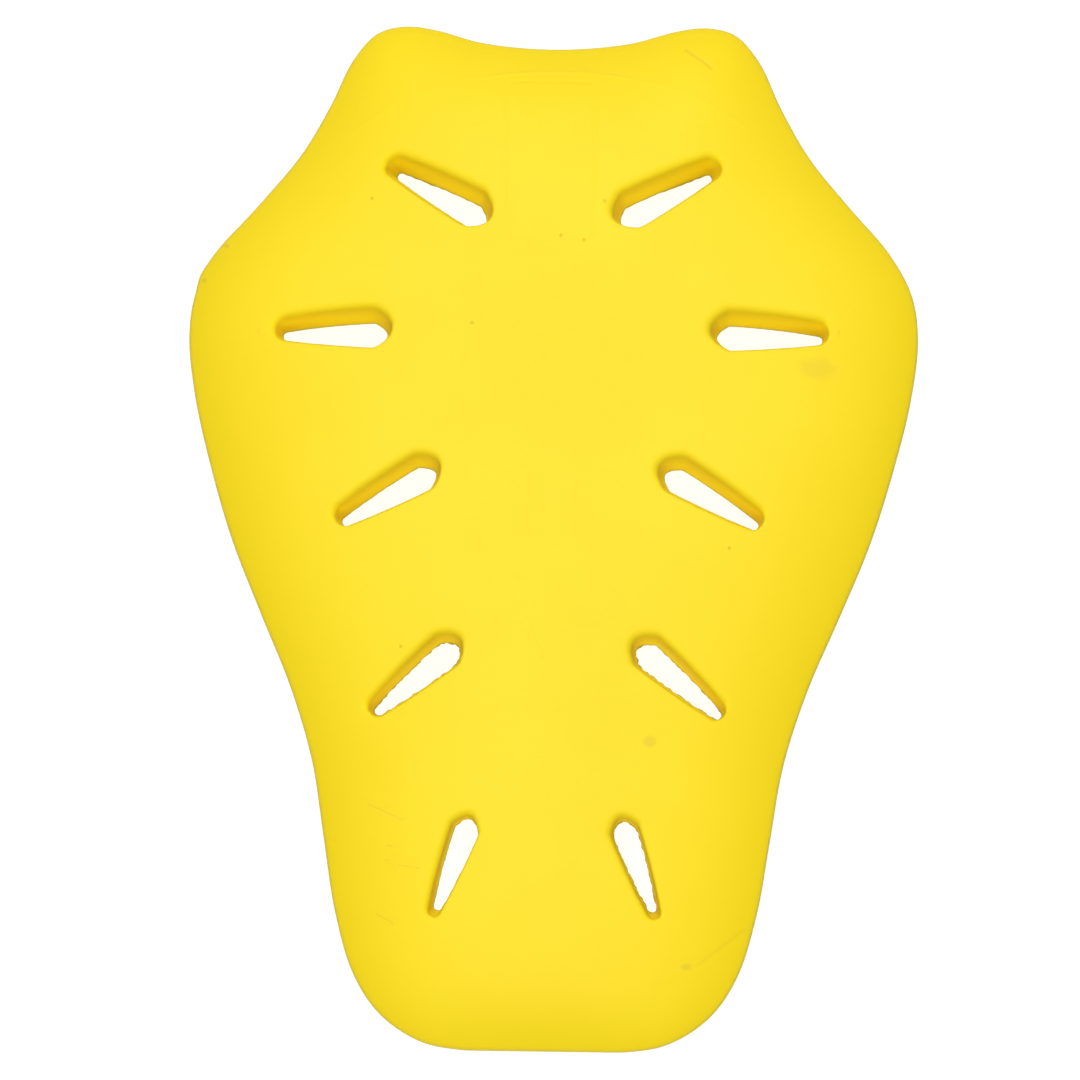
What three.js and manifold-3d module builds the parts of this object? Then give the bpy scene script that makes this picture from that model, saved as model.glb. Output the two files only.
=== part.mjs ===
// Back protector: a full-back insert pad moulded in one piece from soft impact foam.
// Millimetres, +Z up. The pad lies body side down on z = 0, with its upper lobes towards +Y.

import * as THREE from "three";
import { mergeVertices } from "three/addons/utils/BufferGeometryUtils.js";
import Module from "manifold-3d";

// Outline
const LENGTH = 420;
const WIDTH = 299;

// Crowned outer face: it climbs from the rim and levels out over CROWN_REACH
const RIM_THICKNESS = 5;
const CROWN_RISE = 29.1;
const CROWN_REACH = 31;

// Body side: a flat land under the rim, then a shallow dish for the wearer's back
const LAND_WIDTH = 9;
const DISH_DEPTH = 12.4;
const DISH_REACH = 31;
const DISH_ENTRY = 1.5;

// Vents: teardrop slots, narrowest on the body side
const VENT_LENGTH = 43;
const VENT_WIDTH = 10.2;
const VENT_DRAFT = 2.9;
const VENT_TIP_DRAFT = 1.6;
const VENT_LIP = 3.8;

// How far a cutter runs past the faces that it cuts, and the sharpest corner that it grows square to
const CUTTER_OVERRUN = 6;
const MITRE_LIMIT = 0.5;

// Points closer than this are one point
const MERGE_DISTANCE = 1e-4;

// Spine that the rings close on, as shares of LENGTH
const SPINE_SLOPE = 0.6;
const SPINE_END = 0.275;

// Colour and finish of the foam
const FOAM_COLOUR = 0xfbdc26;
const FOAM_ROUGHNESS = 0.6;

// Right half of the outline, from the dip between the lobes down to the tail edge.
// across is a share of half the width, along a share of half the length, and steps is the
// number of chords up to the next row.
const OUTLINE = [
  { across: 0.0, along: 0.955, steps: 3 },
  { across: 0.2, along: 0.967, steps: 2 },
  { across: 0.335, along: 0.993, steps: 2 },
  { across: 0.42, along: 1.0, steps: 2 },
  { across: 0.497, along: 0.985, steps: 2 },
  { across: 0.563, along: 0.931, steps: 2 },
  { across: 0.625, along: 0.836, steps: 2 },
  { across: 0.703, along: 0.738, steps: 2 },
  { across: 0.81, along: 0.643, steps: 2 },
  { across: 0.923, along: 0.548, steps: 2 },
  { across: 0.983, along: 0.467, steps: 2 },
  { across: 1.0, along: 0.381, steps: 2 },
  { across: 0.981, along: 0.262, steps: 3 },
  { across: 0.932, along: 0.119, steps: 3 },
  { across: 0.869, along: -0.024, steps: 3 },
  { across: 0.786, along: -0.167, steps: 3 },
  { across: 0.7, along: -0.31, steps: 3 },
  { across: 0.637, along: -0.452, steps: 3 },
  { across: 0.602, along: -0.595, steps: 3 },
  { across: 0.567, along: -0.738, steps: 2 },
  { across: 0.515, along: -0.857, steps: 2 },
  { across: 0.442, along: -0.933, steps: 2 },
  { across: 0.335, along: -0.983, steps: 2 },
  { across: 0.23, along: -0.9985, steps: 2 },
  { across: 0.0, along: -1.0, steps: 1 },
];

// Middle of each vent on the right side; the left side mirrors it. across is a share of half the
// width and along of half the length, turn is the slope of the head-to-tip line in degrees, size is
// a share of VENT_LENGTH, girth of VENT_WIDTH, spread of VENT_DRAFT and tip of VENT_TIP_DRAFT.
const VENTS = [
  { across: 0.3079, along: 0.6455, turn: 29.5, size: 0.98, girth: 1.0, spread: 1.05, tip: 0.3 },
  { across: 0.5929, along: 0.3725, turn: 0.1, size: 1.0, girth: 1.0, spread: 1.03, tip: -0.9 },
  { across: 0.4373, along: 0.0545, turn: -29.1, size: 1.0, girth: 1.0, spread: 0.93, tip: -0.9 },
  { across: 0.3544, along: -0.2965, turn: -39.3, size: 1.01, girth: 1.08, spread: 0.65, tip: -0.7 },
  { across: 0.246, along: -0.6488, turn: -69.6, size: 0.9, girth: 1.0, spread: 0.22, tip: 1.2 },
];

// Half of a vent's outline from its tip to its head: along is a share of the vent's length and
// half a share of half its width.
const VENT_SECTION = [
  { along: 0.0, half: 0.2 },
  { along: 0.028, half: 0.35 },
  { along: 0.26, half: 0.61 },
  { along: 0.52, half: 0.82 },
  { along: 0.76, half: 0.96 },
  { along: 0.885, half: 1.0 },
  { along: 0.963, half: 0.56 },
  { along: 1.0, half: 0.16 },
];

// Rounded rim edge, from the land up to the outer face, as shares of RIM_THICKNESS
const RIM_EDGE = [
  { inset: 0.3, height: 0.0 },
  { inset: 0.0, height: 0.25 },
  { inset: 0.0, height: 0.65 },
  { inset: 0.12, height: 0.92 },
];

// Rings between the rim and the spine, as shares of the way
const OUTER_RINGS = [0.02, 0.07, 0.14, 0.23, 0.34, 0.48, 0.64, 0.82];
const DISH_RINGS = [0.14, 0.21, 0.31, 0.44, 0.6, 0.8];

// Vent cutter levels: lift is a share of VENT_LIP measured from the outer face, and flare is a
// share of VENT_LIP added to the draft.
const LIP_LEVELS = [
  { lift: -1.0, flare: 0.0 },
  { lift: -0.35, flare: 0.3 },
  { lift: 0.0, flare: 0.95 },
];

// Points of the whole outline, anticlockwise seen from above, with a straight tail edge
function outlinePoints() {
  const knots = OUTLINE.map((row) => new THREE.Vector3(row.across, row.along, 0));
  knots.forEach((knot) => knot.multiply(new THREE.Vector3(WIDTH / 2, LENGTH / 2, 1)));
  const mirrored = knots.slice(1, -1).map((knot) => new THREE.Vector3(-knot.x, knot.y, 0));
  const loop = [...knots, ...mirrored.reverse()];
  const curve = new THREE.CatmullRomCurve3(loop, true, "centripetal");
  const right = [];
  OUTLINE.slice(0, -1).forEach((row, index) => {
    for (let step = 0; step < row.steps; step += 1) {
      right.push(curve.getPoint((index + step / row.steps) / loop.length));
    }
  });
  right.push(knots[knots.length - 1].clone());
  right[0].x = 0;
  right.forEach((point) => {
    point.y = THREE.MathUtils.clamp(point.y, -LENGTH / 2, LENGTH / 2);
  });
  const left = right.slice(1, -1).map((point) => new THREE.Vector3(-point.x, point.y, 0));
  return [...left, right[right.length - 1], ...right.slice(1, -1).reverse(), right[0]];
}

// Smooth distance of a point inside the outline from its edge: it equals the true distance near
// the edge and levels out over the spine.
function insetFrom(outline) {
  return (x, y) => {
    let sum = 0;
    outline.forEach((start, index) => {
      const end = outline[(index + 1) % outline.length];
      const length = Math.hypot(end.x - start.x, end.y - start.y);
      const dirX = (end.x - start.x) / length;
      const dirY = (end.y - start.y) / length;
      const along = (x - start.x) * dirX + (y - start.y) * dirY;
      const off = (x - start.x) * dirY - (y - start.y) * dirX;
      const reach = (length - along) / Math.hypot(length - along, off) + along / Math.hypot(along, off);
      sum += reach / (off * off);
    });
    return Math.sqrt(2 / sum);
  };
}

// Height of the outer face at a distance in from the edge
function outerHeight(inset) {
  return RIM_THICKNESS + CROWN_RISE * (1 - Math.exp(-inset / CROWN_REACH));
}

// Height of the dish at a distance in from the edge
function dishHeight(inset) {
  const beyond = Math.max(0, inset - LAND_WIDTH) / DISH_REACH;
  return DISH_DEPTH * (1 - Math.exp(-(beyond ** DISH_ENTRY)));
}

// Point on the spine that an outline point is drawn towards
function spinePoint(point) {
  const limit = SPINE_END * LENGTH;
  return new THREE.Vector3(0, THREE.MathUtils.clamp(point.y * SPINE_SLOPE, -limit, limit), 0);
}

// Point at a distance in from an outline point, on the way to the spine
function stepIn(point, distance) {
  const inward = spinePoint(point).sub(point).normalize();
  return point.clone().addScaledVector(inward, distance);
}

// Closed geometry from a list of vertices and quads or triangles, with no slivers of zero area
function closedGeometry(points, faces) {
  const geometry = new THREE.BufferGeometry();
  const places = points.flatMap((point) => [point.x, point.y, point.z]);
  geometry.setAttribute("position", new THREE.Float32BufferAttribute(places, 3));
  const triangles = faces.flatMap((face) => {
    return face.slice(2).map((_, i) => [face[0], face[i + 1], face[i + 2]]);
  });
  geometry.setIndex(triangles.flat());
  const merged = mergeVertices(geometry, MERGE_DISTANCE);
  const index = merged.getIndex().array;
  const kept = [];
  for (let i = 0; i < index.length; i += 3) {
    const [a, b, c] = [index[i], index[i + 1], index[i + 2]];
    if (a !== b && b !== c && c !== a) {
      kept.push(a, b, c);
    }
  }
  merged.setIndex(kept);
  return merged;
}

// Pad without its vents: rings from the dish, over the rim edge, to the outer face
function padBody(outline, inset) {
  const rings = [];
  const dishAt = (share) => outline.map((point) => {
    const place = point.clone().lerp(spinePoint(point), share);
    place.z = dishHeight(inset(place.x, place.y));
    return place;
  });
  rings.push(dishAt(1));
  DISH_RINGS.slice().reverse().forEach((share) => rings.push(dishAt(share)));
  rings.push(outline.map((point) => stepIn(point, LAND_WIDTH)));
  RIM_EDGE.forEach((row) => {
    rings.push(outline.map((point) => {
      const place = stepIn(point, row.inset * RIM_THICKNESS);
      place.z = row.height * RIM_THICKNESS;
      return place;
    }));
  });
  [...OUTER_RINGS, 1].forEach((share) => {
    rings.push(outline.map((point) => {
      const place = point.clone().lerp(spinePoint(point), share);
      place.z = outerHeight(inset(place.x, place.y));
      return place;
    }));
  });
  const count = outline.length;
  const faces = [];
  for (let ring = 0; ring + 1 < rings.length; ring += 1) {
    for (let station = 0; station < count; station += 1) {
      const next = (station + 1) % count;
      faces.push([ring * count + station, ring * count + next, (ring + 1) * count + next,
        (ring + 1) * count + station]);
    }
  }
  return closedGeometry(rings.flat(), faces);
}

// Vent outline in its own frame: tip to head along +X, centred, grown outwards by flare
function ventSection(length, width, flare, tipFlare) {
  const half = VENT_SECTION.map((row) => new THREE.Vector2(row.along * length - length / 2,
    (row.half * width) / 2));
  const loop = [...half, ...half.slice().reverse().map((point) => new THREE.Vector2(point.x, -point.y))];
  return loop.map((point, index) => {
    const before = loop[(index + loop.length - 1) % loop.length];
    const after = loop[(index + 1) % loop.length];
    const into = point.clone().sub(before).normalize();
    const out = after.clone().sub(point).normalize();
    const mitre = new THREE.Vector2(-into.y - out.y, into.x + out.x).normalize();
    const reach = flare / Math.max(MITRE_LIMIT, mitre.dot(new THREE.Vector2(-into.y, into.x)));
    const grown = point.clone().addScaledVector(mitre, reach);
    grown.x -= tipFlare * (0.5 - point.x / length);
    return grown;
  });
}

// Solid that cuts one vent: straight below, drafted through the foam, flared at the lip
function ventCutter(row, side, inset) {
  const centre = new THREE.Vector2((side * row.across * WIDTH) / 2, (row.along * LENGTH) / 2);
  const turn = THREE.MathUtils.degToRad(row.turn);
  const headward = side > 0 ? Math.PI + turn : -turn;
  const length = row.size * VENT_LENGTH;
  const width = row.girth * VENT_WIDTH;
  const draft = row.spread * VENT_DRAFT;
  const tipDraft = row.tip * VENT_TIP_DRAFT;
  const level = (flare, tipFlare, height) => ventSection(length, width, flare, tipFlare).map((local) => {
    const at = local.rotateAround(new THREE.Vector2(), headward).add(centre);
    return new THREE.Vector3(at.x, at.y, height(inset(at.x, at.y)));
  });
  const levels = [
    level(0, 0, () => -CUTTER_OVERRUN),
    level(0, 0, dishHeight),
    ...LIP_LEVELS.map((lip) => level(draft + lip.flare * VENT_LIP, tipDraft,
      (distance) => outerHeight(distance) + lip.lift * VENT_LIP)),
    level(draft + VENT_LIP + CUTTER_OVERRUN, tipDraft,
      (distance) => outerHeight(distance) + CUTTER_OVERRUN),
  ];
  const count = levels[0].length;
  const faces = [];
  for (let ring = 0; ring + 1 < levels.length; ring += 1) {
    for (let station = 0; station < count; station += 1) {
      const next = (station + 1) % count;
      faces.push([ring * count + station, (ring + 1) * count + station, (ring + 1) * count + next,
        ring * count + next]);
    }
  }
  const top = (levels.length - 1) * count;
  for (let station = 0; station + 1 < count / 2; station += 1) {
    const across = count - 1 - station;
    faces.push([station, station + 1, across - 1, across]);
    faces.push([top + station, top + across, top + across - 1, top + station + 1]);
  }
  return closedGeometry(levels.flat(), faces);
}

const wasm = await Module();
wasm.setup();

// Solid for joins and cuts from a closed geometry
function toSolid(geometry) {
  return new wasm.Manifold(new wasm.Mesh({
    numProp: 3,
    vertProperties: new Float32Array(geometry.getAttribute("position").array),
    triVerts: new Uint32Array(geometry.getIndex().array),
  }));
}

// Geometry of a solid
function toGeometry(solid) {
  const mesh = solid.getMesh();
  const geometry = new THREE.BufferGeometry();
  geometry.setAttribute("position", new THREE.BufferAttribute(mesh.vertProperties, 3));
  geometry.setIndex(new THREE.BufferAttribute(mesh.triVerts, 1));
  geometry.computeVertexNormals();
  return geometry;
}

// The whole pad with its vents cut through
function padGeometry() {
  const outline = outlinePoints();
  const inset = insetFrom(outline);
  let solid = toSolid(padBody(outline, inset));
  VENTS.forEach((row) => {
    [-1, 1].forEach((side) => {
      solid = solid.subtract(toSolid(ventCutter(row, side, inset)));
    });
  });
  return toGeometry(solid);
}

const finish = { color: FOAM_COLOUR, roughness: FOAM_ROUGHNESS, metalness: 0 };
const foam = new THREE.MeshStandardMaterial(finish);
const pad = new THREE.Mesh(padGeometry(), foam);
pad.name = "pad";

const group = new THREE.Group();
group.name = "back_protector";
group.add(pad);

export default group;
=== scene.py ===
"""Back protector: the moulded foam pad, its finish, and the studio it is shown in."""

import math

import bpy
import numpy as np
from mathutils import Matrix, Vector
from mathutils.geometry import delaunay_2d_cdt


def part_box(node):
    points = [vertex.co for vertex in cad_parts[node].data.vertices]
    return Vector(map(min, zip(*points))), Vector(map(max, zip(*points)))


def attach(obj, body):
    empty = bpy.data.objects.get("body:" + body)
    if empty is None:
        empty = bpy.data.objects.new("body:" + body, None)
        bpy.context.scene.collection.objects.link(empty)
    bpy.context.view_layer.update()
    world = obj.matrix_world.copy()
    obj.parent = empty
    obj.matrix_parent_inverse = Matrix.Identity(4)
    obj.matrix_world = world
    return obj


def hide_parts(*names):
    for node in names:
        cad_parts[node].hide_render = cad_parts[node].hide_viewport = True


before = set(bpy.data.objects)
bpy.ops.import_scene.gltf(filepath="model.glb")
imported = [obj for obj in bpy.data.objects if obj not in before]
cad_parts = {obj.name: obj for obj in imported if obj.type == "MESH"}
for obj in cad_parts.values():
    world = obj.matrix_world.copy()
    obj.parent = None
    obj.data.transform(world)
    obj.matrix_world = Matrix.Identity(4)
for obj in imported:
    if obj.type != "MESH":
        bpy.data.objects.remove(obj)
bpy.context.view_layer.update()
PAD_LOW, PAD_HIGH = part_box("pad")

bl_info = {
    "name": "Back Protector",
    "version": (1, 0, 0),
    "blender": (4, 5, 0),
    "location": "3D View > Sidebar > Back Protector",
    "description": "Builds a moulded foam back protector and a plain studio",
    "category": "Add Mesh",
}

MM = 0.001

# Right half of the outline from the dip between the lobes to the tail: shares of half the width
# and half the length.
OUTLINE = (
    (0.0, 0.955),
    (0.2, 0.967),
    (0.335, 0.993),
    (0.42, 1.0),
    (0.497, 0.985),
    (0.563, 0.931),
    (0.625, 0.836),
    (0.703, 0.738),
    (0.81, 0.643),
    (0.923, 0.548),
    (0.983, 0.467),
    (1.0, 0.381),
    (0.981, 0.262),
    (0.932, 0.119),
    (0.869, -0.024),
    (0.786, -0.167),
    (0.7, -0.31),
    (0.637, -0.452),
    (0.602, -0.595),
    (0.567, -0.738),
    (0.515, -0.857),
    (0.442, -0.933),
    (0.335, -0.983),
    (0.23, -0.9985),
    (0.0, -1.0),
)

# Vents of the right side, mirrored on the left: place as shares of half the width and half the
# length, slope in degrees, length, girth and spread of the walls as shares of the vent's length,
# width and draft, and extra lean of the tip as a share of the tip draft.
VENTS = (
    {"across": 0.3079, "along": 0.6455, "turn": 29.5,
     "size": 0.98, "girth": 1.0, "spread": 1.05, "tip": 0.3},
    {"across": 0.5929, "along": 0.3725, "turn": 0.1,
     "size": 1.0, "girth": 1.0, "spread": 1.03, "tip": -0.9},
    {"across": 0.4373, "along": 0.0545, "turn": -29.1,
     "size": 1.0, "girth": 1.0, "spread": 0.93, "tip": -0.9},
    {"across": 0.3544, "along": -0.2965, "turn": -39.3,
     "size": 1.01, "girth": 1.08, "spread": 0.65, "tip": -0.7},
    {"across": 0.246, "along": -0.6488, "turn": -69.6,
     "size": 0.9, "girth": 1.0, "spread": 0.22, "tip": 1.2},
)

# Flash left in the left and the right mouth of each row, as shares of the flash width: a wavy web
# on the wall above the tip, waves all round, and fine tears
FLASH = (
    ({"web": 0.5, "wave": 0.3, "tear": 0.15}, {"web": 0.8, "wave": 0.25, "tear": 0.1}),
    ({"web": 0.0, "wave": 0.05, "tear": 0.05}, {"web": 0.0, "wave": 0.05, "tear": 0.05}),
    ({"web": 0.0, "wave": 0.15, "tear": 0.1}, {"web": 0.0, "wave": 0.1, "tear": 0.05}),
    ({"web": 0.0, "wave": 0.2, "tear": 0.8}, {"web": 0.0, "wave": 0.2, "tear": 0.8}),
    ({"web": 0.0, "wave": 0.25, "tear": 0.35}, {"web": 0.0, "wave": 0.5, "tear": 0.8}),
)

# Half of a vent's mouth from tip to head: shares of its length and of half its width
VENT_SECTION = (
    (0.0, 0.2),
    (0.028, 0.35),
    (0.26, 0.61),
    (0.52, 0.82),
    (0.76, 0.96),
    (0.885, 1.0),
    (0.963, 0.56),
    (1.0, 0.16),
)


class PadForm(bpy.types.PropertyGroup):
    """Sizes of the moulding"""

    length: bpy.props.FloatProperty(
        name="Length", description="From the lobes to the tail", unit="LENGTH",
        default=PAD_HIGH.y - PAD_LOW.y)
    width: bpy.props.FloatProperty(
        name="Width", description="Across the wings", unit="LENGTH", default=PAD_HIGH.x - PAD_LOW.x)
    rim: bpy.props.FloatProperty(
        name="Rim", description="Foam thickness at the rim", unit="LENGTH", default=5 * MM)
    crown_rise: bpy.props.FloatProperty(
        name="Crown rise", description="Climb of the outer face above the rim", unit="LENGTH",
        default=29.1 * MM)
    crown_reach: bpy.props.FloatProperty(
        name="Crown reach", description="Distance over which the outer face levels out", unit="LENGTH",
        default=31 * MM)
    land: bpy.props.FloatProperty(
        name="Land", description="Width of the flat land under the rim", unit="LENGTH", default=9 * MM)
    dish_depth: bpy.props.FloatProperty(
        name="Dish depth", description="Hollow of the body side", unit="LENGTH", default=12.4 * MM)
    dish_reach: bpy.props.FloatProperty(
        name="Dish reach", description="Distance over which the dish levels out", unit="LENGTH",
        default=31 * MM)
    dish_entry: bpy.props.FloatProperty(
        name="Dish entry", description="How softly the dish leaves the land", default=1.5)
    face_step: bpy.props.FloatProperty(
        name="Face step", description="Mesh step on the outer face", unit="LENGTH", default=1.45 * MM)
    back_step: bpy.props.FloatProperty(
        name="Back step", description="Mesh step on the body side", unit="LENGTH", default=3 * MM)


class VentForm(bpy.types.PropertyGroup):
    """Sizes of the vents"""

    length: bpy.props.FloatProperty(
        name="Length", description="Length of a mouth", unit="LENGTH", default=43 * MM)
    width: bpy.props.FloatProperty(
        name="Width", description="Widest part of a mouth", unit="LENGTH", default=10.2 * MM)
    draft: bpy.props.FloatProperty(
        name="Draft", description="How far the walls lean out", unit="LENGTH", default=2.9 * MM)
    tip_draft: bpy.props.FloatProperty(
        name="Tip draft", description="Extra lean of the tip", unit="LENGTH", default=1.6 * MM)
    lip: bpy.props.FloatProperty(
        name="Lip", description="Radius of the rounded lip where it is softest", unit="LENGTH",
        default=4 * MM)
    crisp_lip: bpy.props.FloatProperty(
        name="Crisp lip", description="Radius of the lip where it is crispest", unit="LENGTH",
        default=1.1 * MM)
    soft_way: bpy.props.FloatProperty(
        name="Soft way", description="Direction in which the lips are softest", unit="ROTATION",
        default=math.radians(117))
    flash: bpy.props.FloatProperty(
        name="Flash", description="Width of the ragged flash left in a mouth", unit="LENGTH",
        default=0.7 * MM)
    step: bpy.props.FloatProperty(
        name="Step", description="Mesh step round a mouth", unit="LENGTH", default=0.65 * MM)


class PadRelief(bpy.types.PropertyGroup):
    """Low relief left by the mould"""

    panel_width: bpy.props.FloatProperty(
        name="Panel width", description="Bare framed panel between the lobes", unit="LENGTH",
        default=36.5 * MM)
    panel_length: bpy.props.FloatProperty(
        name="Panel length", description="Bare framed panel between the lobes", unit="LENGTH",
        default=69.7 * MM)
    panel_corner: bpy.props.FloatProperty(
        name="Panel corner", description="Corner radius of the panel", unit="LENGTH", default=4.2 * MM)
    groove: bpy.props.FloatProperty(
        name="Groove", description="Depth of the panel's engraved line", unit="LENGTH",
        default=0.28 * MM)
    ridge: bpy.props.FloatProperty(
        name="Ridge", description="Height of the arched mould line", unit="LENGTH", default=0.42 * MM)
    ridge_radius: bpy.props.FloatProperty(
        name="Ridge radius", description="Radius of the arched mould line", unit="LENGTH",
        default=143 * MM)
    gate: bpy.props.FloatProperty(
        name="Gate", description="How proud the trimmed gate stands", unit="LENGTH", default=1.2 * MM)


class FoamFinish(bpy.types.PropertyGroup):
    """Colours and texture of the foam"""

    # Painted highlight: the foam colour carries extra blue for the soft sheen of the lights over the
    # crown; the rim and wall tones lack it
    base: bpy.props.FloatVectorProperty(
        name="Foam", description="Colour of the foam", subtype="COLOR", size=4, min=0, max=1,
        default=(0.96, 0.735, 0.036, 1))
    deep: bpy.props.FloatVectorProperty(
        name="Deep tone", description="Deeper tone of the mottling", subtype="COLOR", size=4,
        min=0, max=1, default=(0.93, 0.685, 0.028, 1))
    # Painted sheen: this tone has less blue than the foam colour, so blending to it towards the rim
    # fades out the blue that paints the crown's highlight
    rim: bpy.props.FloatVectorProperty(
        name="Rim tone", description="Colour towards the rim, where less dust lies", subtype="COLOR",
        size=4, min=0, max=1, default=(0.96, 0.72, 0.006, 1))
    # Painted shade inside the vents: the wall tone is a little darker than the foam colour and has none
    # of its painted sheen
    wall: bpy.props.FloatVectorProperty(
        name="Wall tone", description="Colour inside the vents", subtype="COLOR", size=4, min=0, max=1,
        default=(0.9, 0.7, 0.0, 1))
    # Painted shade at the edges: this dark olive tone darkens the rim's underside and the foot of each
    # vent wall, where shade falls
    edge_shade: bpy.props.FloatVectorProperty(
        name="Torn edge", description="Colour of the trimmed edges", subtype="COLOR", size=4,
        min=0, max=1, default=(0.42, 0.34, 0.02, 1))
    stain: bpy.props.FloatVectorProperty(
        name="Stain", description="Colour of the scuffs and stains", subtype="COLOR", size=4,
        min=0, max=1, default=(0.72, 0.52, 0.04, 1))
    roughness: bpy.props.FloatProperty(
        name="Roughness", description="Satin of the moulded skin", default=0.58, min=0, max=1)
    sheen: bpy.props.FloatProperty(
        name="Sheen", description="Strength of the skin's reflection", default=0.12, min=0, max=1)
    grain: bpy.props.FloatProperty(
        name="Grain", description="Height of the skin's fine grain", unit="LENGTH", default=0.05 * MM)


class Studio(bpy.types.PropertyGroup):
    """Camera, floor and light"""

    distance: bpy.props.FloatProperty(
        name="Distance", description="From the camera to the pad", unit="LENGTH", default=1.301)
    tilt: bpy.props.FloatProperty(
        name="Tilt", description="Camera's lean from straight above towards the tail", unit="ROTATION",
        default=math.radians(6.71))
    lean: bpy.props.FloatProperty(
        name="Lean", description="Camera's lean from straight above towards the right wing",
        unit="ROTATION", default=math.radians(1.52))
    roll: bpy.props.FloatProperty(
        name="Roll", description="Camera's turn about its own axis", unit="ROTATION",
        default=math.radians(0.75))
    lens: bpy.props.FloatProperty(name="Lens", description="Focal length in millimetres", default=107.3)
    aim: bpy.props.FloatVectorProperty(
        name="Aim", description="Point that the camera looks at", subtype="XYZ", unit="LENGTH",
        default=(-3.83 * MM, -5.24 * MM, 13 * MM))
    floor: bpy.props.FloatVectorProperty(
        name="Floor", description="Colour of the floor", subtype="COLOR", size=4, min=0, max=1,
        default=(0.22, 0.22, 0.22, 1))
    glow: bpy.props.FloatProperty(
        name="Glow", description="Light given by the floor, as a lit table", default=0.86, min=0)
    key: bpy.props.FloatProperty(
        name="Key", description="Power of the main light", unit="POWER", default=12.9)
    key_size: bpy.props.FloatVectorProperty(
        name="Key size", description="Width and length of the main light", size=2, unit="LENGTH",
        default=(0.45, 1.7))
    key_place: bpy.props.FloatVectorProperty(
        name="Key place", description="Where the main light hangs", subtype="XYZ", unit="LENGTH",
        default=(0.0, 0.14, 2.0))
    lamps: bpy.props.FloatVectorProperty(
        name="Lamps", description="Power of the lamps beyond the lobes and beyond the tail", size=2,
        unit="POWER", default=(12.6, 11.2))
    lamp_reach: bpy.props.FloatProperty(
        name="Lamp reach", description="How far out those lamps stand", unit="LENGTH", default=0.95)
    fill: bpy.props.FloatProperty(name="Fill", description="Strength of the room's light", default=0.1)


def smooth_loop(knots, steps):
    """Closed centripetal curve through the knots, with so many points to each span."""
    share = (np.arange(steps) / steps)[:, None]
    points = []
    for index in range(len(knots)):
        p0, p1, p2, p3 = (knots[(index + k) % len(knots)] for k in (-1, 0, 1, 2))
        d0, d1, d2 = (math.sqrt(np.linalg.norm(b - a)) for a, b in ((p0, p1), (p1, p2), (p2, p3)))
        start = ((p1 - p0) / d0 - (p2 - p0) / (d0 + d1) + (p2 - p1) / d1) * d1
        end = ((p2 - p1) / d1 - (p3 - p1) / (d1 + d2) + (p3 - p2) / d2) * d1
        cubic = 2 * p1 - 2 * p2 + start + end
        square = 3 * p2 - 3 * p1 - 2 * start - end
        points.append(p1 + start * share + square * share**2 + cubic * share**3)
    return np.vstack(points)


def even_loop(loop, step):
    """The closed loop with its points spaced evenly."""
    closed = np.vstack([loop, loop[:1]])
    run = np.concatenate([[0], np.cumsum(np.linalg.norm(np.diff(closed, axis=0), axis=1))])
    places = np.linspace(0, run[-1], int(round(run[-1] / step)), endpoint=False)
    return np.column_stack([np.interp(places, run, closed[:, axis]) for axis in (0, 1)])


def outward(loop):
    """Unit normals pointing out of an anticlockwise loop."""
    along = np.roll(loop, -1, axis=0) - np.roll(loop, 1, axis=0)
    along /= np.linalg.norm(along, axis=1)[:, None]
    return np.column_stack([along[:, 1], -along[:, 0]])


def inside(points, loop):
    """Which points lie inside the closed loop."""
    near = np.flatnonzero(np.all((points > loop.min(axis=0)) & (points < loop.max(axis=0)), axis=1))
    x, y = points[near].T
    odd = np.zeros(len(near), bool)
    for (x1, y1), (x2, y2) in zip(loop, np.roll(loop, -1, axis=0)):
        if y1 != y2:
            odd ^= ((y1 > y) != (y2 > y)) & (x < (x2 - x1) * (y - y1) / (y2 - y1) + x1)
    found = np.zeros(len(points), bool)
    found[near[odd]] = True
    return found


def gap_to(points, loop):
    """Distance of each point from the nearest point of the loop."""
    best = np.full(len(points), np.inf)
    for place in loop:
        np.minimum(best, np.hypot(points[:, 0] - place[0], points[:, 1] - place[1]), out=best)
    return best


def ease(value, low, high):
    """Smooth step from 0 at low to 1 at high."""
    share = np.clip((value - low) / (high - low), 0, 1)
    return share * share * (3 - 2 * share)


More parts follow.
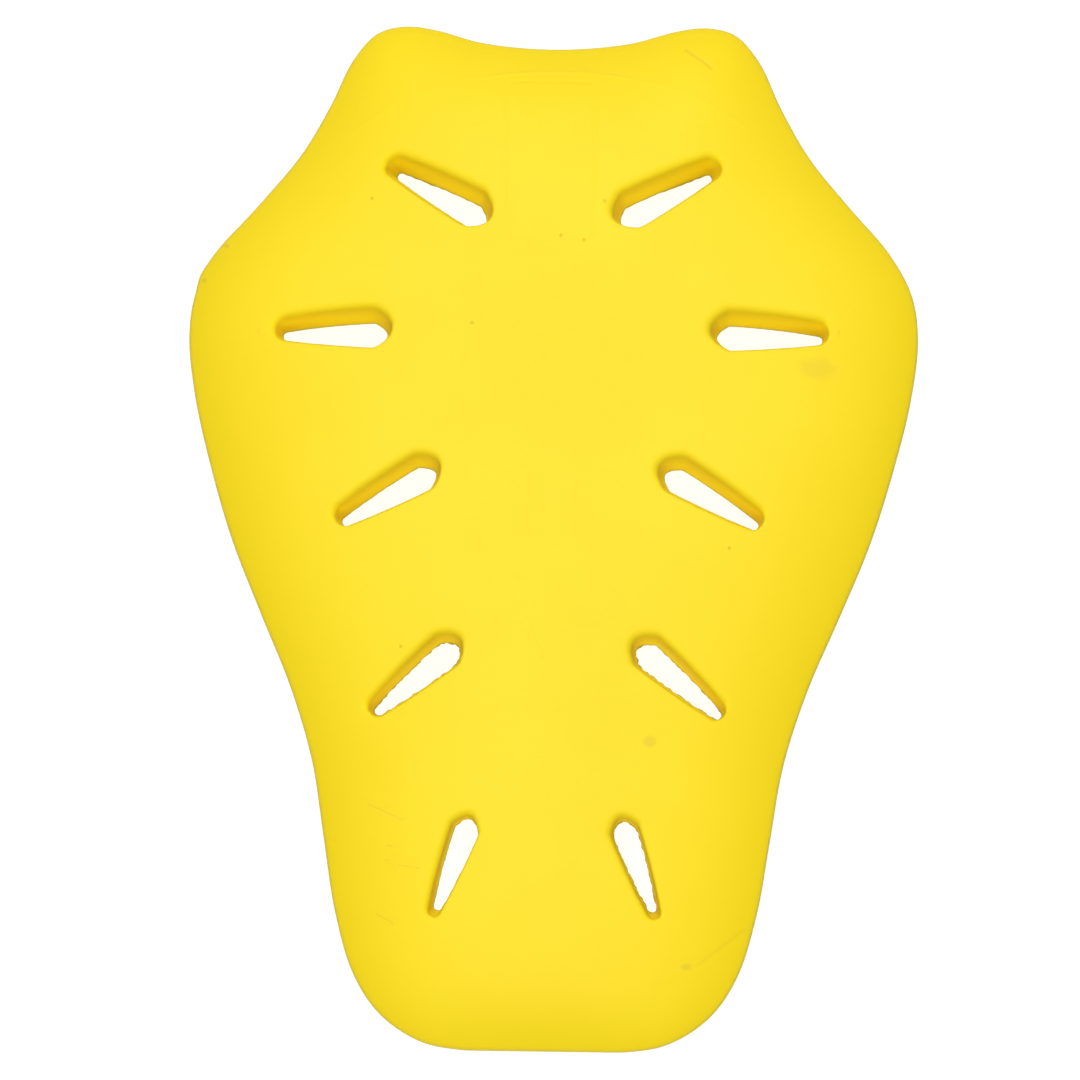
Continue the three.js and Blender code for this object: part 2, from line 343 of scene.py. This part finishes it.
class Moulding:
    """The pad's form, worked out from its sizes in metres."""

    # Rounding of the land's edge and of the rim
    EDGE = 1.5 * MM
    SHOULDER = 1.6 * MM
    # Where the gate starts, peaks and ends along the pad
    GATE_ROWS = (97 * MM, 104 * MM, 124 * MM)
    # Middle of the framed panel
    PANEL_MIDDLE = np.array([-1.3, 148.5]) * MM
    # Top of the arched line, and how far across the pad it is bold and reaches
    RIDGE_TOP = 187.9 * MM
    RIDGE_BOLD = 38 * MM
    RIDGE_END = 92 * MM
    # Half the width of the arched and the engraved line
    LINE = 0.75 * MM
    # Bevel of a mouth's lower edge, and thickness of the flash
    BEVEL = 0.35 * MM
    SKIN = 0.5 * MM
    # Rings up a vent's wall and round its lip
    WALL_STEPS = 7
    LIP_STEPS = 7
    # Waves of the flash round a mouth
    WAVES = (7, 11, 17, 23)

    def __init__(self, form, vents, relief):
        self.form = form
        self.vents = vents
        self.relief = relief
        half = np.array([form.width, form.length]) / 2
        right = np.array(OUTLINE) * half
        left = right[1:-1][::-1] * (-1, 1)
        loop = smooth_loop(np.vstack([right, left])[::-1], 10)
        loop[:, 1] = np.clip(loop[:, 1], -half[1], half[1])
        self.guide = even_loop(loop, 3 * MM)
        self.outline = self.with_gate(even_loop(loop, form.face_step))

    def with_gate(self, loop):
        """The outline with the trimmed gate standing proud on the left wing."""
        low, peak, high = self.GATE_ROWS
        proud = np.interp(loop[:, 1], (low, peak, high), (0, self.relief.gate, 0))
        return loop + outward(loop) * (proud * (loop[:, 0] < 0))[:, None]

    def inset(self, points):
        """Smooth distance in from the edge: true near it, and level over the spine."""
        start = self.guide
        along = np.roll(start, -1, axis=0) - start
        length = np.linalg.norm(along, axis=1)
        along = along / length[:, None]
        found = []
        for part in np.array_split(points, max(1, len(points) // 4000)):
            rel = part[:, None, :] - start[None]
            run = rel[..., 0] * along[:, 0] + rel[..., 1] * along[:, 1]
            off = np.maximum(np.abs(rel[..., 0] * along[:, 1] - rel[..., 1] * along[:, 0]), 1e-6)
            reach = (length - run) / np.hypot(length - run, off) + run / np.hypot(run, off)
            found.append(np.sqrt(2 / (reach / off**2).sum(axis=1)))
        return np.concatenate(found)

    def ridge_gap(self, points):
        """Signed distance of each point beyond the arched mould line."""
        centre = self.RIDGE_TOP - self.relief.ridge_radius
        return np.hypot(points[:, 0], points[:, 1] - centre) - self.relief.ridge_radius

    def panel_gap(self, points):
        """Signed distance of each point outside the panel's engraved line."""
        corner = self.relief.panel_corner
        size = np.array([self.relief.panel_width, self.relief.panel_length]) / 2 - corner
        off = np.abs(points - self.PANEL_MIDDLE) - size
        return np.hypot(*np.maximum(off, 0).T) + np.minimum(off.max(axis=1), 0) - corner

    def relief_height(self, points):
        """Height that the mould's low relief adds to the outer face."""
        across = np.abs(points[:, 0])
        bold = 1 - 0.7 * ease(across, 0.6 * self.RIDGE_BOLD, self.RIDGE_BOLD)
        bold *= 1 - ease(across, 0.8 * self.RIDGE_END, self.RIDGE_END)
        ridge = np.exp(-((self.ridge_gap(points) / self.LINE) ** 2)) * (points[:, 1] > 0)
        groove = np.exp(-((self.panel_gap(points) / self.LINE) ** 2))
        return self.relief.ridge * bold * ridge - self.relief.groove * groove

    def face(self, points):
        """Height of the outer face."""
        form = self.form
        rise = form.crown_rise * (1 - np.exp(-self.inset(points) / form.crown_reach))
        return form.rim + rise + self.relief_height(points)

    def rim_share(self, points):
        """1 at the rim, falling to 0 where the outer face is level."""
        return np.exp(-self.inset(points) / self.form.crown_reach)

    def dish(self, points):
        """Height of the body side."""
        form = self.form
        beyond = np.maximum(self.inset(points) - form.land, 0) / form.dish_reach
        return form.dish_depth * (1 - np.exp(-(beyond**form.dish_entry)))

    def mouth(self, row):
        """A vent's mouth in its own frame, anticlockwise, with the head at +X."""
        length = row["size"] * self.vents.length
        width = row["girth"] * self.vents.width
        half = np.array(VENT_SECTION) * (length, width / 2) - (length / 2, 0)
        loop = np.vstack([half * (1, -1), half[::-1]])
        loop = even_loop(even_loop(loop, self.vents.step / 4), self.vents.step / 2)
        for _ in range(2):
            loop = (np.roll(loop, 1, axis=0) + 2 * loop + np.roll(loop, -1, axis=0)) / 4
        return even_loop(loop, self.vents.step)

    def flash_width(self, mouth, kept, upper, seed):
        """How far the flash reaches into a mouth at each of its points."""
        rough = np.random.default_rng(seed)
        fine = rough.random(len(mouth))
        fine = (np.roll(fine, 1) + 2 * fine + np.roll(fine, -1)) / 4
        turn = np.linspace(0, 2 * math.pi, len(mouth), endpoint=False)
        wave = sum(np.sin(count * turn + 6.3 * rough.random()) for count in self.WAVES)
        wave = wave / len(self.WAVES)
        along = mouth[:, 0] / np.ptp(mouth[:, 0]) + 0.5
        above = ease(mouth[:, 1] * upper, 0, 0.5 * MM)
        web = above * ease(along, 0.02, 0.2) * ease(-along, -0.62, -0.25) * (0.8 + 0.4 * wave)
        headed = 0.6 + 0.4 * ease(along, 0.6, 0.85)
        width = kept["web"] * web + kept["wave"] * (0.4 + 0.6 * wave)
        width = width + kept["tear"] * headed * np.clip(2.6 * fine - 0.9, -0.2, 1)
        return self.vents.flash * np.maximum(width, 0)

    def vent_rings(self, row, side, kept, seed):
        """Rings of one vent from its mouth on the body side up to the outer face, with their painted
        shade.
        """
        sizes = self.vents
        mouth = self.mouth(row)
        normal = outward(mouth)
        length = row["size"] * sizes.length
        tip_draft = row["tip"] * sizes.tip_draft
        turn = math.radians(row["turn"])
        headward = math.pi + turn if side > 0 else -turn
        turned = np.array([[math.cos(headward), math.sin(headward)],
                           [-math.sin(headward), math.cos(headward)]])
        centre = np.array([side * row["across"] * self.form.width, row["along"] * self.form.length]) / 2
        draft = row["spread"] * sizes.draft
        soft = (normal @ turned) @ (math.cos(sizes.soft_way), math.sin(sizes.soft_way))
        lip = sizes.crisp_lip + (sizes.lip - sizes.crisp_lip) * ease(soft, -0.7, 0.75)

        def grown(flare, share=0.0):
            local = mouth + normal * np.asarray(flare).reshape(-1, 1)
            local[:, 0] -= share * tip_draft * (0.5 - mouth[:, 0] / length)
            return local @ turned + centre

        flash = self.flash_width(mouth, kept, -side, seed)
        bevel = self.BEVEL
        skin = self.SKIN
        low = grown(0)
        floor = self.dish(low)
        spread = grown(bevel)
        # The third number of each ring is the painted recess shade, full down the walls, easing upwards
        # and fading over the lip; the fourth is the painted edge shade at the foot of the wall
        rings = [
            (spread, self.dish(spread), 0.5, 0.0),
            (grown(-flash), floor + 0.6 * bevel, 1.0, 1.0),
            (grown(-flash), floor + 0.6 * bevel + skin, 1.0, 1.0),
            (grown(-0.3 * flash), floor + bevel + 1.6 * skin, 1.0, 0.7),
        ]
        for step in range(self.WALL_STEPS + 1):
            share = (step / self.WALL_STEPS) ** 1.3
            place = grown(draft * share, share)
            base = floor + bevel + 2.2 * skin
            top = self.face(place) - lip
            rings.append((place, base + (top - base) * share, 1.0 - 0.25 * share,
                          max(0.0, 0.45 - 4 * share)))
        for step in range(1, self.LIP_STEPS + 1):
            angle = math.pi / 2 * step / self.LIP_STEPS
            place = grown(draft + lip * (1 - math.cos(angle)), 1)
            rings.append((place, self.face(place) - lip * (1 - math.sin(angle)),
                          0.75 * math.cos(angle), 0.0))
        return [(np.column_stack([place, height]), recess_shade, edge_shade)
                for place, height, recess_shade, edge_shade in rings]

    def rim_rings(self):
        """Rings round the rim's edge from the land up to the outer face, with their painted shade."""
        loop = self.outline
        normal = outward(loop)
        shoulder = loop - normal * self.SHOULDER
        top = self.face(shoulder)
        slope = self.form.crown_rise / self.form.crown_reach
        low = self.form.rim * 0.3
        high = self.form.rim * 0.6
        rings = []
        # The last number of each ring is the painted edge shade, dark at the land and fading up the
        # shoulder
        for share in (0.0, 0.3, 0.6, 1.0):
            inset = self.EDGE * (1 - share) ** 2
            height = np.full(len(loop), low * share**2)
            rings.append((np.column_stack([loop - normal * inset, height]), 0.0, 0.7))
        for share in (0.0, 0.25, 0.5, 0.75, 1.0):
            inset = self.SHOULDER * share**2
            corner = top - slope * self.SHOULDER
            height = high * (1 - share) ** 2 + corner * 2 * share * (1 - share) + top * share**2
            edge_shade = 0.7 * (1 - share) ** 1.5
            rings.append((np.column_stack([loop - normal * inset, height]), 0.0, edge_shade))
        return rings

    def filling(self, loops, step, fine=None):
        """Points spread evenly between the outer loop and the holes, closer where fine says so."""
        outer = loops[0]
        low, high = outer.min(axis=0), outer.max(axis=0)

        def lattice(spacing):
            rows = np.arange(low[1], high[1], spacing * math.sqrt(3) / 2)
            columns = np.arange(low[0], high[0], spacing)
            x, y = np.meshgrid(columns, rows)
            x = x + np.where(np.arange(len(rows)) % 2, spacing / 2, 0)[:, None]
            return np.column_stack([x.ravel(), y.ravel()])

        points = lattice(step)
        if fine is not None:
            points = points[fine(points) > 1.6 * step]
            close = lattice(step * 0.42)
            close = close[fine(close) < 1.4 * step]
            points = np.vstack([points, close])
        points = points[inside(points, outer)]
        points = points[gap_to(points, outer) > 0.6 * step]
        for hole in loops[1:]:
            near = (points > hole.min(axis=0) - step) & (points < hole.max(axis=0) + step)
            near = near.all(axis=1)
            clear = ~inside(points, hole)
            clear[near] &= gap_to(points[near], hole) > 0.6 * step
            points = points[clear]
        return points


class Shell:
    """Vertices and faces of one closed mesh."""

    # Point tones: how near the rim a point lies, which fades the painted sheen, and the painted shade
    # in the vents and at the edges
    TONES = ("rim", "recess_shade", "edge_shade")

    def __init__(self):
        self.points = []
        self.tones = []
        self.faces = []
        self.count = 0

    def add(self, points, *tones):
        """Adds points with their tones and gives back their numbers."""
        self.points.append(np.asarray(points, float))
        self.tones.append(np.column_stack([np.broadcast_to(tone, len(points)) for tone in tones]))
        first = self.count
        self.count += len(points)
        return np.arange(first, self.count)

    def bridge(self, low, high, turned=False):
        """Quads between two rings of as many points."""
        ahead_low, ahead_high = np.roll(low, -1), np.roll(high, -1)
        quads = np.column_stack([low, ahead_low, ahead_high, high])
        self.faces.extend((quads[:, ::-1] if turned else quads).tolist())

    def sheet(self, loops, numbers, filling, height, rim, up):
        """A triangulated sheet between loops whose points are already in the shell."""
        inner = self.add(np.column_stack([filling, height(filling)]), rim(filling), 0.0, 0.0)
        flat = np.vstack([*loops, filling])
        known = np.concatenate([*numbers, inner])
        edges = []
        first = 0
        for loop in loops:
            ring = np.arange(first, first + len(loop))
            edges.extend(zip(ring.tolist(), np.roll(ring, -1).tolist()))
            first += len(loop)
        _, _, triangles, sources, _, _ = delaunay_2d_cdt(
            [Vector(place) for place in flat.tolist()], edges, [], 1, 1e-9)
        if any(len(source) != 1 for source in sources):
            raise RuntimeError("two points of the sheet fell together")
        corners = np.array(sources)[np.array(triangles)].reshape(-1, 3)
        for hole in loops[1:]:
            corners = corners[~inside(flat[corners].mean(axis=1), hole)]
        first, second, third = (flat[corners[:, index]] for index in range(3))
        turn = np.cross(second - first, third - first)
        corners[(turn > 0) != up] = corners[(turn > 0) != up][:, ::-1]
        self.faces.extend(known[corners].tolist())

    def mesh(self, name):
        """The shell as a Blender mesh, smooth all over."""
        made = bpy.data.meshes.new(name)
        made.from_pydata(np.vstack(self.points).tolist(), [], self.faces)
        for column, tone in enumerate(self.TONES):
            values = np.vstack(self.tones)[:, column].astype(np.float32)
            made.attributes.new(tone, "FLOAT", "POINT").data.foreach_set("value", values)
        made.validate()
        made.shade_smooth()
        return made


def pad_shell(moulding):
    """The whole pad: rim, vents, outer face and body side."""
    shell = Shell()
    rim = moulding.rim_rings()
    rim_numbers = [shell.add(ring, 1.0, recess_shade, edge_shade) for ring, recess_shade, edge_shade in rim]
    for low, high in zip(rim_numbers, rim_numbers[1:]):
        shell.bridge(low, high)
    face_loops, face_numbers = [rim[-1][0][:, :2]], [rim_numbers[-1]]
    back_loops, back_numbers = [rim[0][0][:, :2]], [rim_numbers[0]]
    seed = 0
    for row, sides in zip(VENTS, FLASH):
        for side, kept in zip((-1, 1), sides):
            seed += 1
            rings = moulding.vent_rings(row, side, kept, seed)
            numbers = [shell.add(ring, moulding.rim_share(ring[:, :2]), recess_shade, edge_shade)
                       for ring, recess_shade, edge_shade in rings]
            for low, high in zip(numbers, numbers[1:]):
                shell.bridge(low, high, turned=True)
            face_loops.append(rings[-1][0][:, :2])
            face_numbers.append(numbers[-1])
            back_loops.append(rings[0][0][:, :2])
            back_numbers.append(numbers[0])

    def fine(points):
        ridge = np.abs(moulding.ridge_gap(points)) + np.where(
            (points[:, 1] > 0) & (np.abs(points[:, 0]) < moulding.RIDGE_END), 0, 1)
        return np.minimum(np.abs(moulding.panel_gap(points)), ridge)

    form = moulding.form
    face_filling = moulding.filling(face_loops, form.face_step, fine)
    shell.sheet(face_loops, face_numbers, face_filling, moulding.face, moulding.rim_share, True)
    back_filling = moulding.filling(back_loops, form.back_step)
    shell.sheet(back_loops, back_numbers, back_filling, moulding.dish, moulding.rim_share, False)
    return shell


class Wire:
    """A shader socket whose arithmetic adds Math nodes."""

    def __init__(self, shader, socket):
        self.shader = shader
        self.socket = socket

    def maths(self, operation, *values, clamp=False):
        made = self.shader.node("ShaderNodeMath", {"operation": operation, "use_clamp": clamp},
                                dict(enumerate(values)))
        return Wire(self.shader, made.outputs[0])

    def __add__(self, other):
        return self.maths("ADD", self, other)

    def __radd__(self, other):
        return self.maths("ADD", other, self)

    def __sub__(self, other):
        return self.maths("SUBTRACT", self, other)

    def __rsub__(self, other):
        return self.maths("SUBTRACT", other, self)

    def __mul__(self, other):
        return self.maths("MULTIPLY", self, other)

    def __rmul__(self, other):
        return self.maths("MULTIPLY", other, self)

    def clamped(self):
        return self.maths("ADD", self, 0.0, clamp=True)

    def larger(self, other):
        return self.maths("MAXIMUM", self, other)

    def unsigned(self):
        return self.maths("ABSOLUTE", self)

    def root(self):
        return self.maths("SQRT", self)

    def eased(self, low, high, start=0.0, end=1.0):
        """Smooth step from start at low to end at high."""
        made = self.shader.node("ShaderNodeMapRange", {"interpolation_type": "SMOOTHSTEP"}, {
            "Value": self, "From Min": low, "From Max": high, "To Min": start, "To Max": end})
        return Wire(self.shader, made.outputs["Result"])


class Shader:
    """A material's node tree and the short ways to fill it."""

    def __init__(self, name):
        self.material = bpy.data.materials.new(name)
        self.material.use_nodes = True
        self.tree = self.material.node_tree
        self.tree.nodes.clear()
        self.output = self.tree.nodes.new("ShaderNodeOutputMaterial")

    def node(self, kind, settings=None, sockets=None):
        """A node of this kind, with its settings made first and then its sockets filled or linked."""
        made = self.tree.nodes.new(kind)
        for name, value in (settings or {}).items():
            setattr(made, name, value)
        for name, value in (sockets or {}).items():
            if isinstance(value, Wire):
                self.tree.links.new(value.socket, made.inputs[name])
            elif isinstance(value, bpy.types.NodeSocket):
                self.tree.links.new(value, made.inputs[name])
            else:
                made.inputs[name].default_value = value
        return made

    def tone(self, name):
        """A tone that the mesh carries from point to point."""
        return Wire(self, self.node("ShaderNodeAttribute", {"attribute_name": name}).outputs["Fac"])

    def place(self):
        """Object coordinates in metres."""
        return self.node("ShaderNodeTexCoord").outputs["Object"]

    def noise(self, scale, detail, roughness=0.5):
        """Noise whose grains are about one over scale metres across."""
        made = self.node("ShaderNodeTexNoise", None, {
            "Vector": self.place(), "Scale": scale, "Detail": detail, "Roughness": roughness})
        return Wire(self, made.outputs["Fac"])

    def gap_from(self, point, flatten=(1.0, 1.0, 0.0)):
        """Distance from a point, with each axis stretched by flatten."""
        off = self.node("ShaderNodeVectorMath", {"operation": "SUBTRACT"}, {0: self.place(), 1: point})
        scaled = self.node("ShaderNodeVectorMath", {"operation": "MULTIPLY"}, {
            0: off.outputs["Vector"], 1: flatten})
        made = self.node("ShaderNodeVectorMath", {"operation": "LENGTH"}, {0: scaled.outputs["Vector"]})
        return Wire(self, made.outputs["Value"])

    def flat_place(self):
        """Object coordinates across and along the pad."""
        made = self.node("ShaderNodeSeparateXYZ", None, {"Vector": self.place()})
        return Wire(self, made.outputs["X"]), Wire(self, made.outputs["Y"])

    def gap_from_line(self, first, second):
        """Distance, seen from above, from the straight line between two points."""
        x, y = self.flat_place()
        run = Vector(second) - Vector(first)
        way = run.normalized()
        off_x, off_y = x - first[0], y - first[1]
        along = off_x * way.x + off_y * way.y
        across = off_y * way.x - off_x * way.y
        beyond = (along - run.length).larger(0.0 - along).larger(0.0)
        return (across * across + beyond * beyond).root()

    def arc_share(self, arc):
        """One on an arched line, nought away from it."""
        x, y = self.flat_place()
        centre = [value * MM for value in arc["centre"]]
        low, high = (value * MM for value in arc["across"])
        middle, reach = (low + high) / 2, (high - low) / 2
        gap = (self.gap_from((*centre, 0)) - arc["radius"] * MM).unsigned()
        ends = (x - middle).unsigned().eased(reach - ARC_FADE, reach, 1.0, 0.0)
        half = (arc["side"] * (y - centre[1])).eased(0.0, ARC_FADE)
        return gap.eased(0.0, ARC_WIDTH, 1.0, 0.0) * ends * half

    def blend(self, share, first, second):
        """Colour between first and second."""
        made = self.node("ShaderNodeMix", {"data_type": "RGBA"}, {
            "Factor": share, 6: first, 7: second})
        return made.outputs[2]

    def finish(self, surface):
        self.tree.links.new(surface, self.output.inputs["Surface"])
        return self.material


# Scale and detail of the noises: mottling and flecks of the colour, wandering of the stains' edges,
# grain and ripple of the skin, and changes of its satin
MOTTLE = (16, 3)
FLECK = (420, 2)
SMUDGE = (160, 3)
GRAIN = (1500, 3)
RIPPLE = (70, 2)
SATIN = (45, 3)

# Scuffs and stains of the outer face: place in millimetres, size in millimetres, and strength
STAINS = (
    {"at": (106.7, 63.5), "size": (9.0, 5.5), "depth": 0.3},
    {"at": (41.1, -86.8), "size": (3.4, 2.8), "depth": 0.45},
    {"at": (56.2, -175.4), "size": (2.6, 1.6), "depth": 0.4},
    {"at": (-134.5, 116.0), "size": (1.8, 1.5), "depth": 0.5},
    {"at": (-143.5, 101.5), "size": (1.5, 1.5), "depth": 0.45},
)

# Open pores of the skin, in millimetres
PORES = (
    (-73.7, 132.3),
    (21.1, 130.9),
    (3.5, 116.4),
    (12.8, 114.5),
    (-31.8, 80.2),
    (72.3, -9.6),
    (-58.5, -50.2),
)

# Faint arched lines: centre, radius, where they start and stop across the pad, the side of the
# centre that they lie on, and height, in millimetres
ARCS = (
    {"centre": (-4.3, 39.0), "radius": 82.0, "across": (-46, 37), "side": -1, "height": 0.07},
    {"centre": (1.0, -171.6), "radius": 102.6, "across": (-38, 42), "side": 1, "height": 0.06},
    {"centre": (4.7, -148.8), "radius": 56.0, "across": (-28, 38), "side": 1, "height": 0.05},
)

ARC_WIDTH = 1.1 * MM
ARC_FADE = 6 * MM

# Scratches and creases: two ends, width and depth in millimetres, and how much darker their colour is
# made
SCRATCHES = (
    {"ends": ((54, 198), (64, 190)), "width": 1.5, "depth": 0.25, "scratch_darkening": 0.25},
    {"ends": ((-11, -32), (-1, -55)), "width": 0.6, "depth": 0.06, "scratch_darkening": 0.12},
    {"ends": ((-71, -113), (-57, -119)), "width": 0.8, "depth": 0.12, "scratch_darkening": 0.2},
    {"ends": ((-63, -129), (-61, -129.5)), "width": 0.8, "depth": 0.12, "scratch_darkening": 0.2},
    {"ends": ((-64, -135), (-62, -135)), "width": 0.7, "depth": 0.1, "scratch_darkening": 0.2},
    {"ends": ((-58, -137), (-50, -138)), "width": 0.7, "depth": 0.1, "scratch_darkening": 0.2},
    {"ends": ((-67, -156.5), (-60, -160)), "width": 0.8, "depth": 0.12, "scratch_darkening": 0.2},
    {"ends": ((61.5, -174.5), (80, -160.5)), "width": 1.0, "depth": 0.08, "scratch_darkening": 0.2},
)

# Small raised spots of the skin, in millimetres, and their edge and height
BUMPS = ((-118, 78), (115, 79))
BUMP_EDGE = (0.2 * MM, 1.6 * MM)
BUMP_HEIGHT = 0.25 * MM


def skin_marks(shader):
    """Height of the arched lines, scratches and raised spots, and how much darker the scratches are
    coloured.
    """
    height = scratch_darkening = None
    for arc in ARCS:
        relief = shader.arc_share(arc) * (arc["height"] * MM)
        height = relief if height is None else height + relief
    for scratch in SCRATCHES:
        first, second = ([value * MM for value in end] for end in scratch["ends"])
        share = shader.gap_from_line(first, second).eased(0.0, scratch["width"] * MM, 1.0, 0.0)
        height = height - share * (scratch["depth"] * MM)
        scratch_darkening = share * scratch["scratch_darkening"] if scratch_darkening is None else scratch_darkening.larger(share * scratch["scratch_darkening"])
    for at in BUMPS:
        gap = shader.gap_from((at[0] * MM, at[1] * MM, 0))
        height = height + gap.eased(*BUMP_EDGE, BUMP_HEIGHT, 0.0)
    return height, scratch_darkening


def foam_material(finish):
    """Yellow moulded foam with a fine grained satin skin."""
    shader = Shader("foam_skin")
    mottle = shader.noise(*MOTTLE).eased(0.35, 0.7)
    fleck = shader.noise(*FLECK).eased(0.5, 0.8)
    tone = (0.55 * mottle + 0.25 * fleck).clamped()
    colour = shader.blend(tone, tuple(finish.base), tuple(finish.deep))
    # Painted sheen: towards the rim the colour loses the blue that paints the crown's highlight
    colour = shader.blend(shader.tone("rim"), colour, tuple(finish.rim))
    # Painted shade down the vents' walls and lips
    colour = shader.blend(shader.tone("recess_shade"), colour, tuple(finish.wall))
    # Painted shade at the rim's underside and at the foot of the vents' walls
    colour = shader.blend(shader.tone("edge_shade"), colour, tuple(finish.edge_shade))
    worn = None
    smudge = shader.noise(*SMUDGE)
    for stain in STAINS:
        point = (stain["at"][0] * MM, stain["at"][1] * MM, 0)
        size = stain["size"]
        gap = shader.gap_from(point, (1 / (size[0] * MM), 1 / (size[1] * MM), 0.0))
        mask = (gap + 0.9 * (smudge - 0.5)).eased(0.35, 1.15, stain["depth"], 0.0)
        worn = mask if worn is None else worn.larger(mask)
    marks, scratch_darkening = skin_marks(shader)
    # Stains and scuffs, and the darker colour of the scratches and creases
    colour = shader.blend(worn.larger(scratch_darkening), colour, tuple(finish.stain))
    pits = None
    for at in PORES:
        gap = shader.gap_from((at[0] * MM, at[1] * MM, 0))
        pit = gap.eased(0.25 * MM, 0.85 * MM, 1.0, 0.0)
        pits = pit if pits is None else pits.larger(pit)
    # The pores are also coloured darker
    colour = shader.blend(0.5 * pits, colour, tuple(finish.stain))
    grain = shader.noise(*GRAIN, roughness=0.6)
    ripple = shader.noise(*RIPPLE)
    height = grain * finish.grain + ripple * (3 * finish.grain) - pits * (6 * finish.grain) + marks
    bump = shader.node("ShaderNodeBump", None, {"Strength": 1.0, "Distance": 1.0, "Height": height})
    rough = finish.roughness + 0.12 * (shader.noise(*SATIN) - 0.5) + 0.3 * shader.tone("recess_shade")
    surface = shader.node("ShaderNodeBsdfPrincipled", None, {
        "Base Color": colour, "Roughness": rough, "Normal": bump.outputs["Normal"],
        "Specular IOR Level": finish.sheen})
    return shader.finish(surface.outputs["BSDF"])


def floor_material(studio):
    """Pale lit table."""
    shader = Shader("pale_floor")
    surface = shader.node("ShaderNodeBsdfPrincipled", None, {
        "Base Color": tuple(studio.floor), "Roughness": 0.9, "Emission Color": (1, 1, 1, 1),
        "Emission Strength": studio.glow, "Specular IOR Level": 0.1})
    return shader.finish(surface.outputs["BSDF"])


class PROTECTOR_OT_pad(bpy.types.Operator):
    """Build the moulded foam pad"""

    bl_idname = "protector.pad"
    bl_label = "Foam Pad"

    def execute(self, context):
        scene = context.scene
        moulding = Moulding(scene.pad_form, scene.vent_form, scene.pad_relief)
        pad = bpy.data.objects.new("foam_pad", pad_shell(moulding).mesh("foam_pad"))
        scene.collection.objects.link(pad)
        pad.data.materials.append(foam_material(scene.foam_finish))
        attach(pad, "root")
        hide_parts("pad")
        return {"FINISHED"}


class PROTECTOR_OT_studio(bpy.types.Operator):
    """Set the floor, the light and the camera"""

    bl_idname = "protector.studio"
    bl_label = "Studio"

    FLOOR_REACH = 6.0
    LAMP_RISE = 1.4
    LAMP_SIZE = (0.7, 0.7)
    SENSOR_WIDTH = 36
    FAR_CLIP = 20

    def execute(self, context):
        scene = context.scene
        studio = scene.studio
        self.lay_floor(scene, studio)
        self.hang_lights(scene, studio)
        self.stand_camera(scene, studio)
        scene.view_settings.view_transform = "Standard"
        return {"FINISHED"}

    def lay_floor(self, scene, studio):
        reach = self.FLOOR_REACH
        mesh = bpy.data.meshes.new("floor")
        corners = [(-reach, -reach, 0), (reach, -reach, 0), (reach, reach, 0), (-reach, reach, 0)]
        mesh.from_pydata(corners, [], [(0, 1, 2, 3)])
        mesh.materials.append(floor_material(studio))
        floor = bpy.data.objects.new("floor", mesh)
        scene.collection.objects.link(floor)

    def hang_lights(self, scene, studio):
        height = self.LAMP_RISE * studio.lamp_reach
        self.hang("key", studio.key_place, studio.key_size, studio.key)
        self.hang("head_lamp", (0, studio.lamp_reach, height), self.LAMP_SIZE, studio.lamps[0])
        self.hang("tail_lamp", (0, -studio.lamp_reach, height), self.LAMP_SIZE, studio.lamps[1])
        world = bpy.data.worlds.new("room")
        world.use_nodes = True
        world.node_tree.nodes["Background"].inputs["Color"].default_value = (1, 1, 1, 1)
        world.node_tree.nodes["Background"].inputs["Strength"].default_value = studio.fill
        scene.world = world

    def hang(self, name, place, size, power):
        light = bpy.data.lights.new(name, "AREA")
        light.shape = "RECTANGLE"
        light.size, light.size_y = size
        light.energy = power
        lamp = bpy.data.objects.new(name, light)
        lamp.location = place
        lamp.rotation_euler = (-lamp.location).to_track_quat("-Z", "Y").to_euler()
        bpy.context.scene.collection.objects.link(lamp)

    def stand_camera(self, scene, studio):
        camera = bpy.data.cameras.new("camera")
        camera.lens = studio.lens
        camera.sensor_width = self.SENSOR_WIDTH
        camera.clip_end = self.FAR_CLIP
        ahead = Vector((-math.sin(studio.lean), math.sin(studio.tilt) * math.cos(studio.lean),
                        -math.cos(studio.tilt) * math.cos(studio.lean)))
        up = Vector((0, 1, 0))
        up = (up - ahead * up.dot(ahead)).normalized()
        side = ahead.cross(up)
        top = up * math.cos(studio.roll) - side * math.sin(studio.roll)
        right = side * math.cos(studio.roll) + up * math.sin(studio.roll)
        stand = bpy.data.objects.new("camera", camera)
        turned = Matrix((right, top, -ahead)).transposed().to_4x4()
        stand.matrix_world = Matrix.Translation(Vector(studio.aim) - ahead * studio.distance) @ turned
        scene.collection.objects.link(stand)
        scene.camera = stand


class PROTECTOR_PT_panel(bpy.types.Panel):
    """Sizes, finish and stage of the back protector"""

    bl_idname = "PROTECTOR_PT_panel"
    bl_label = "Back Protector"
    bl_space_type = "VIEW_3D"
    bl_region_type = "UI"
    bl_category = "Back Protector"

    def draw(self, context):
        layout = self.layout
        for name, kind in GROUPS:
            box = layout.box()
            box.label(text=kind.__doc__)
            for prop in kind.__annotations__:
                box.prop(getattr(context.scene, name), prop)
        for operator in OPERATORS:
            layout.operator(operator.bl_idname)


GROUPS = (
    ("pad_form", PadForm),
    ("vent_form", VentForm),
    ("pad_relief", PadRelief),
    ("foam_finish", FoamFinish),
    ("studio", Studio),
)
OPERATORS = (PROTECTOR_OT_pad, PROTECTOR_OT_studio)


def register():
    for name, kind in GROUPS:
        bpy.utils.register_class(kind)
        setattr(bpy.types.Scene, name, bpy.props.PointerProperty(type=kind))
    for kind in (*OPERATORS, PROTECTOR_PT_panel):
        bpy.utils.register_class(kind)


def unregister():
    for kind in (PROTECTOR_PT_panel, *reversed(OPERATORS)):
        bpy.utils.unregister_class(kind)
    for name, kind in reversed(GROUPS):
        delattr(bpy.types.Scene, name)
        bpy.utils.unregister_class(kind)


def main():
    register()
    bpy.ops.protector.pad()
    bpy.ops.protector.studio()
    bpy.context.view_layer.update()


if __name__ == "__main__":
    main()
